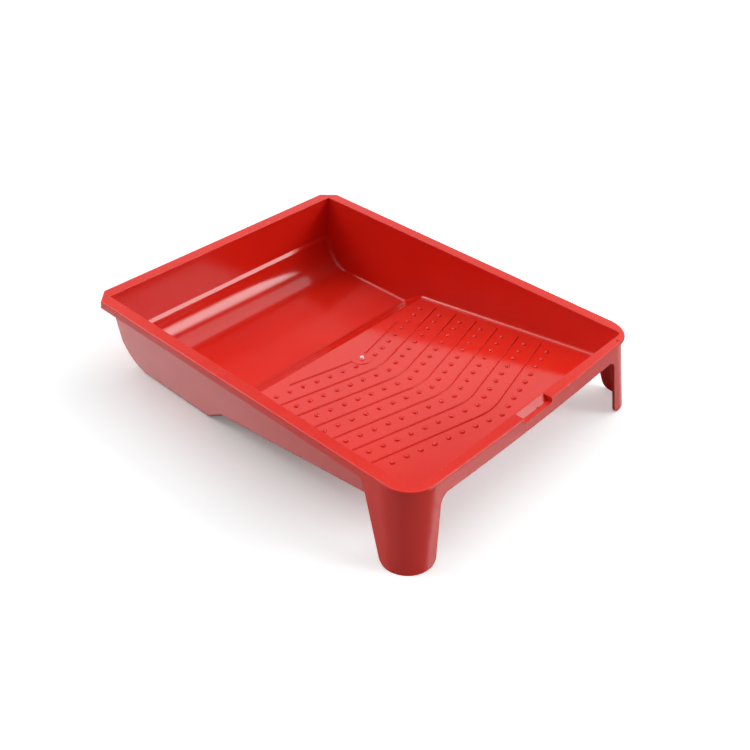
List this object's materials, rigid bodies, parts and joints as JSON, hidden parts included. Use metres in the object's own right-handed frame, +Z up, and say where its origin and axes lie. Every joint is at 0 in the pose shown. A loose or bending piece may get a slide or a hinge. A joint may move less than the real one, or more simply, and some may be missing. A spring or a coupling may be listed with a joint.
{
  "type": "paint roller tray",
  "caption": "Moulded plastic paint roller tray with a deep paint well, a ramp patterned with chevron ribs and studs, a flat rim with a roller rest, and splayed front feet.",
  "frame": {"origin": "middle of the tray's footprint box, on the floor that the well and the feet stand on", "axes": "+X to the right seen from the shallow end, +Y towards the deep end, +Z up out of the tray"},
  "size_m": [0.29, 0.3579, 0.069],
  "materials": {
    "basin_plastic": "glossy red polypropylene, smooth and slightly waxy",
    "rim_plastic": "glossy red polypropylene, softened moulded edges",
    "skirt_plastic": "red polypropylene, semi-gloss outside faces",
    "ramp_plastic": "red polypropylene, satin-gloss rolling surface"
  },
  "bodies": {
    "root": {"well_floor": "basin_plastic", "well_back_curve": "basin_plastic", "back_wall": "basin_plastic", "riser": "basin_plastic", "ramp_panel": "ramp_plastic", "front_wall": "basin_plastic", "left_wall": "basin_plastic", "right_wall": "basin_plastic", "rim_left": "rim_plastic", "rim_right": "rim_plastic", "rim_back": "rim_plastic", "rim_front_left": "rim_plastic", "rim_front_right": "rim_plastic", "roller_rest": "rim_plastic", "skirt_front": "skirt_plastic", "skirt_back": "skirt_plastic", "skirt_left": "skirt_plastic", "skirt_right": "skirt_plastic", "leg_left": "skirt_plastic", "leg_right": "skirt_plastic", "chevron_ribs": "ramp_plastic", "ramp_studs": "ramp_plastic", "gate_disc": "ramp_plastic", "gate_nub": "ramp_plastic"}
  },
  "joints": []
}
